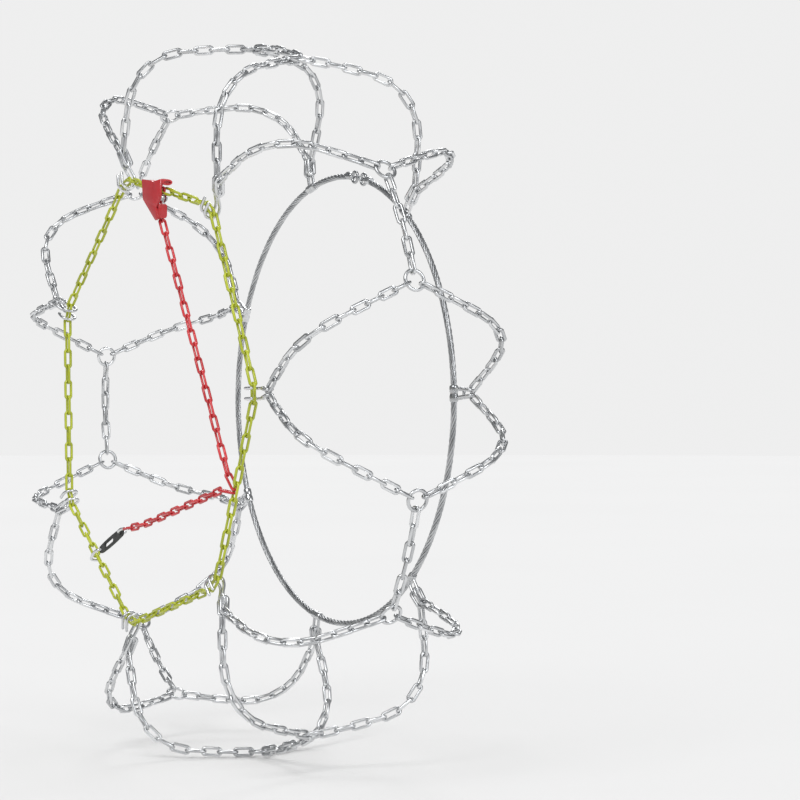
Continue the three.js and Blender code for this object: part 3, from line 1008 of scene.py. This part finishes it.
def guideFlange():
    # a tab folded back from the front sheet's lower right edge, its free end rounded
    tab = newShape()
    outline = [(-1, 0), (6.4, 0.2), (7.6, 1.2), (8, 3), (8, 11.6), (7.2, 13.4), (5.6, 14.1), (-1, 14.1)]
    sheetPlate(tab, [[Vector((depth, 0, down)) for depth, down in outline]], -0.9, 0.9, 0.5)
    down = (inTensioner(12.5, -24.5) - inTensioner(10.3, -10.5)).normalized()
    turn = Matrix((Vector((0, 1, 0)), down.cross(Vector((0, 1, 0))), down)).transposed()
    place = Matrix.Translation(inTensioner(10.3, -10.5, cheekFront)) @ turn.to_4x4()
    bmesh.ops.transform(tab, matrix=place, verts=tab.verts)
    mesh = bpy.data.meshes.new("guideFlange")
    tab.to_mesh(mesh)
    tab.free()
    return mesh


bm = newShape()
pinHoles = [
    pinHole(tensioner["anchor"], tensioner["anchorRadius"] + 0.2),
    pinHole(tensioner["pawl"], tensioner["pawlPinRadius"] + 0.2),
]
thick = tensioner["sheet"]
sheetPlate(bm, [roundedOutline(outlines["front"])], cheekFront - thick, cheekFront, 0.5)
sheetPlate(bm, [roundedOutline(outlines["back"]), *pinHoles], cheekBack, cheekBack + thick, 0.5)
sheetPlate(bm, [roundedOutline(outlines["fold"], 0.4)], cheekFront - 1, cheekBack + 1, 0.3)
guide = guideFlange()
bm.from_mesh(guide)
bpy.data.meshes.remove(guide)
# the rolled edge over the chain's way in, an oval tube with a shallow mouth
rollFrom, rollTo = inTensioner(3.0, 10.2), inTensioner(11.4, 10.6)
across = Vector((0, 1, 0))
turn = Matrix((across, alongAxis.cross(across), alongAxis)).transposed().to_4x4()
tube = bmesh.ops.create_circle(
    bm,
    cap_ends=True,
    segments=28,
    radius=3.0,
    matrix=Matrix.Translation(rollFrom) @ turn @ Matrix.Diagonal((1.85, 1, 1, 1)),
)["verts"]
faces = list({f for v in tube for f in v.link_faces if all(w in tube for w in f.verts)})
made = bmesh.ops.extrude_face_region(bm, geom=faces)["geom"]
fresh = [g for g in made if isinstance(g, bmesh.types.BMVert)]
bmesh.ops.translate(bm, vec=rollTo - rollFrom, verts=fresh)
mouth = [g for g in made if isinstance(g, bmesh.types.BMFace)]
bmesh.ops.inset_region(bm, faces=mouth, thickness=0.7, depth=0.5)
bmesh.ops.inset_region(bm, faces=mouth, thickness=1.0, depth=0)
made = bmesh.ops.extrude_face_region(bm, geom=mouth)["geom"]
bmesh.ops.delete(bm, geom=mouth, context="FACES_ONLY")
fresh = [g for g in made if isinstance(g, bmesh.types.BMVert)]
bmesh.ops.translate(bm, vec=(rollFrom - rollTo) * 0.25, verts=fresh)
piece = finishPiece(bm, "tensioner_sheet", redPaint, "net", ["tensioner_housing"])
shadeSmooth(piece, 35)

bm = newShape()
half = tensioner["gap"] / 2 - 0.6
rollerRim = tensioner["rollerFlange"]
profile = [
    (tensioner["studRadius"] + 0.3, -half),
    (rollerRim - 0.3, -half),
    (rollerRim, -half + 0.3),
    (rollerRim, -half + 0.7),
    (tensioner["rollerRadius"] + 0.3, -half + 1.5),
    (tensioner["rollerRadius"], -half + 2.0),
]
profile += [(r, -y) for r, y in reversed(profile)]
turned(bm, [*profile, profile[0]], inTensioner(*tensioner["roller"]))
piece = finishPiece(bm, "grooved_roller", brightSteel, "roller", ["chain_roller"])
shadeSmooth(piece, 35)


def pinPiece(node, where, profile):
    bm = newShape()
    turned(bm, profile, inTensioner(*tensioner[where]), 28)
    piece = finishPiece(bm, f"chamfered_{node}", brightSteel, "net", [node])
    shadeSmooth(piece, 35)


front = cheekFront + 0.3 - redPlane
back = cheekBack + thick - redPlane
for node, where, radius in (
    ("anchor_pin", "anchor", tensioner["anchorRadius"]),
    ("pawl_pin", "pawl", tensioner["pawlPinRadius"]),
):
    frontEnd = [(0, front), (radius - 0.4, front), (radius, front + 0.4)]
    backEnd = [(radius, back - 0.4), (radius - 0.4, back), (0, back)]
    pinPiece(node, where, [*frontEnd, *backEnd])
stud, head = tensioner["studRadius"], rollerRim - 1
pinPiece(
    "roller_pin",
    "roller",
    [
        (0, front),
        (stud - 0.3, front),
        (stud, front + 0.3),
        (stud, half + 0.3),
        (head - 0.2, half + 0.3),
        (head, half + 0.5),
        (head, half + 1.1),
        (head - 0.6, half + 1.5),
        (0, half + 1.5),
    ],
)

bm = newShape()
u, v = tensioner["pawl"]
blade = [
    (u - 3.2, v + 1.5),
    (u - 1, v + 3.3),
    (u + 3, v + 3),
    (u + 7.4, v + 1.9),
    (u + 8, v + 0.9),
    (u + 7.1, v + 0.5),
    (u + 7.9, v - 0.3),
    (u + 7, v - 0.7),
    (u + 7.4, v - 1.3),
    (u + 4, v - 3),
    (u + 0.6, v - 3.4),
    (u - 0.6, v - 5),
    (u - 2.8, v - 4.4),
    (u - 3.4, v - 1.6),
]
y0 = redPlane - 4
bore = pinHole((u, v), tensioner["pawlPinRadius"] + 0.3)
sheetPlate(bm, [roundedOutline(blade, 0.25), bore], y0, y0 + 5, 0.25)
piece = finishPiece(bm, "toothed_pawl", brightSteel, "pawl", ["locking_pawl"])
shadeSmooth(piece, 35)

bm = newShape()
coil = {"radius": 3.3, "wire": 0.55, "turns": 2}
centre = inTensioner(u, v, y0 + 5.9)
line = []
for i in range(24 * coil["turns"] + 1):
    a = 2 * math.pi * i / 24
    lift = Vector((0, 1.2 * a / (2 * math.pi) / coil["turns"] * 1.6, 0))
    around = alongAxis * coil["radius"] * math.cos(a) + outAxis * coil["radius"] * math.sin(a)
    line.append(centre + around + lift)
line.append(centre + alongAxis * (coil["radius"] - 0.4) + outAxis * 4 + Vector((0, 1.95, 0)))
sweep(bm, line, coil["wire"], 8)
piece = finishPiece(bm, "pawl_spring_coil", brightSteel, "net", ["pawl_spring"])
shadeSmooth(piece)
print("tensioner made")

# inner cable

cable = {
    "strands": 6,
    "strandRadius": 1.05,
    "twist": 42.0,  # along the cable for one turn of the strands
    "half": 17.0,  # cable's end from the middle of the coupling
    "eyeCentre": 9.0,
    "eyeRadius": 5.5,
    "eyeWire": 3.0,
}
turnAway = cable["half"] / wheel["sideRadius"]
span = 2 * math.pi - 2 * turnAway
steps = 280
bm = newShape()
for strand in range(cable["strands"] + 1):
    line = []
    for i in range(steps + 1):
        a = tensionerAngle + turnAway + span * i / steps
        turns = wheel["sideRadius"] * span * i / steps / cable["twist"] + strand / cable["strands"]
        wound = 2 * math.pi * turns
        off = 2.05 if strand < cable["strands"] else 0.0
        radius = wheel["sideRadius"] + off * math.cos(wound)
        line.append(polar(radius, a, wheel["sideOffset"] + off * math.sin(wound)))
    sweep(bm, line, cable["strandRadius"], 6)
piece = finishPiece(bm, "stranded_cable", cableSteel, "net", ["inner_cable_hoop"])
shadeSmooth(piece)

for k in range(wheel["stations"]):
    half = hook["spacing"] / 2

    def at(radial, along, away=0.0):
        return atStation(k, radial, along, away, 1)

    bm = newShape()
    closedEnd = [
        at(hook["reach"] - half + half * math.sin(math.pi * i / 8), half * math.cos(math.pi * i / 8))
        for i in range(9)
    ]
    wire = [at(1, half), at(6, half), *closedEnd, at(6, -half), at(1, -half)]
    sweep(bm, smoothLine(wire, 3), hook["wire"] / 2)
    piece = finishPiece(bm, f"cable_hook_{k + 1}", zincChain, "net")
    shadeSmooth(piece)
    bm = newShape()
    girth = [(0.6, 3.7), (2, 4.2), (6.4, 4.2), (7.4, 3.9), (8, 3.3)]
    girth = [(-along, radius) for along, radius in reversed(girth)] + girth
    line = [at(0, along) for along, _ in girth]
    sweep(bm, line, 1.0, 20, [radius for _, radius in girth], domed=False)
    loops = [e for e in bm.edges if e.is_boundary]
    bmesh.ops.holes_fill(bm, edges=loops, sides=0)
    piece = finishPiece(bm, f"pressed_ferrule_{k + 1}", brightSteel, "net")
    shadeSmooth(piece, 40)


def atCoupling(along, away, radial=0.0):
    return atStation(1.5, radial, along, away, 1)


for sign, name in ((1, "eye_left"), (-1, "eye_right")):
    bm = newShape()
    centre = atCoupling(sign * cable["eyeCentre"], 0)
    sweep(bm, ringLine(centre, Vector((0, 1, 0)), cable["eyeRadius"], 32), cable["eyeWire"] / 2, closed=True)
    sleeve = [(14.0, 2.2), (14.6, 3.2), (16, 3.9), (24, 3.9), (25, 3.4)]
    line = [atCoupling(sign * along, 0) for along, _ in sleeve]
    sweep(bm, line, 1.0, 20, [radius for _, radius in sleeve], domed=False)
    loops = [e for e in bm.edges if e.is_boundary]
    bmesh.ops.holes_fill(bm, edges=loops, sides=0)
    piece = finishPiece(bm, f"cable_{name}", brightSteel, "net")
    shadeSmooth(piece, 40)

bm = newShape()
reach = cable["eyeCentre"]
way = [(reach, -5), (reach, -1), (reach, 2.4), (reach - 1, 5), (reach - 3.4, 6.2)]
way += [(-along, away) for along, away in reversed(way)]
sweep(bm, smoothLine([atCoupling(*pair) for pair in way], 4), hook["wire"] / 2)
piece = finishPiece(
    bm, "coupling_hook_wire", brightSteel, "coupling_hook", ["cable_coupling_hook"]
)
shadeSmooth(piece)
print("inner cable made")

# room, lights and camera

room = {"floorDrop": 0.0008, "floorSize": 14.0}


def floorMaterial():
    r = Recipe("paleFloor")
    cloud = r.noise(0.8)
    color = r.mix(cloud, (0.595, 0.595, 0.595), (0.615, 0.615, 0.615))
    return r.finish(
        {"Metallic": 0.0, "Specular IOR Level": 0.0},
        {"Base Color": color, "Roughness": 0.75 + cloud * 0.1},
    )


bm = bmesh.new()
bmesh.ops.create_circle(
    bm,
    cap_ends=True,
    segments=64,
    radius=room["floorSize"],
    matrix=Matrix.Translation((0, 0, cadLow.z - room["floorDrop"])),
)
mesh = bpy.data.meshes.new("paleFloor")
bm.to_mesh(mesh)
bm.free()
mesh.materials.append(floorMaterial())
floor = bpy.data.objects.new("paleFloor", mesh)
scene.collection.objects.link(floor)

# a white studio behind the piece, and a darker one round it for the metal to mirror
world = bpy.data.worlds.new("studio")
scene.world = world
world.use_nodes = True
sky = world.node_tree
white = sky.nodes["Background"]
white.inputs["Color"].default_value = (1, 1, 1, 1)
white.inputs["Strength"].default_value = 0.86
around = sky.nodes.new("ShaderNodeBackground")
around.inputs["Color"].default_value = (0.20, 0.205, 0.21, 1)
around.inputs["Strength"].default_value = 1.0
seen = sky.nodes.new("ShaderNodeLightPath")
share = sky.nodes.new("ShaderNodeMixShader")
sky.links.new(seen.outputs["Is Glossy Ray"], share.inputs[0])
sky.links.new(white.outputs[0], share.inputs[1])
sky.links.new(around.outputs[0], share.inputs[2])
sky.links.new(share.outputs[0], sky.nodes["World Output"].inputs[0])
scene.view_settings.view_transform = "Standard"


def softLamp(name, way, strength, wide, tint=(1, 1, 1)):
    data = bpy.data.lights.new(name, "SUN")
    data.energy = strength
    data.angle = math.radians(wide)
    data.color = tint
    lamp = bpy.data.objects.new(name, data)
    lamp.rotation_mode = "QUATERNION"
    lamp.rotation_quaternion = Vector(way).to_track_quat("Z", "Y")
    scene.collection.objects.link(lamp)


softLamp("fillLight", (2.8, 0.8, 1.2), 0.96, 22, (0.97, 0.98, 1))
softLamp("frontLight", (1.2, -2.6, 2.6), 0.47, 18)
softLamp("rearLight", (-2.2, 1.6, 2.2), 0.78, 20)
softLamp("wideKey", (0.9, -1.3, 2.2), 0.9, 30)

view = {"azimuth": 63.28, "distance": 2.575, "lens": 114.7, "turn": 3.46}
a = math.radians(view["azimuth"])
backWay = Vector((math.sin(a), -math.cos(a), 0))
forward = Matrix.Rotation(math.radians(-view["turn"]), 3, "Z") @ -backWay
cameraData = bpy.data.cameras.new("camera")
cameraData.lens = view["lens"]
cameraData.sensor_width = 36
cameraData.clip_start = 0.05
camera = bpy.data.objects.new("camera", cameraData)
camera.location = backWay * view["distance"]
camera.rotation_mode = "QUATERNION"
camera.rotation_quaternion = forward.to_track_quat("-Z", "Y")
scene.collection.objects.link(camera)
scene.camera = camera
print("camera set")
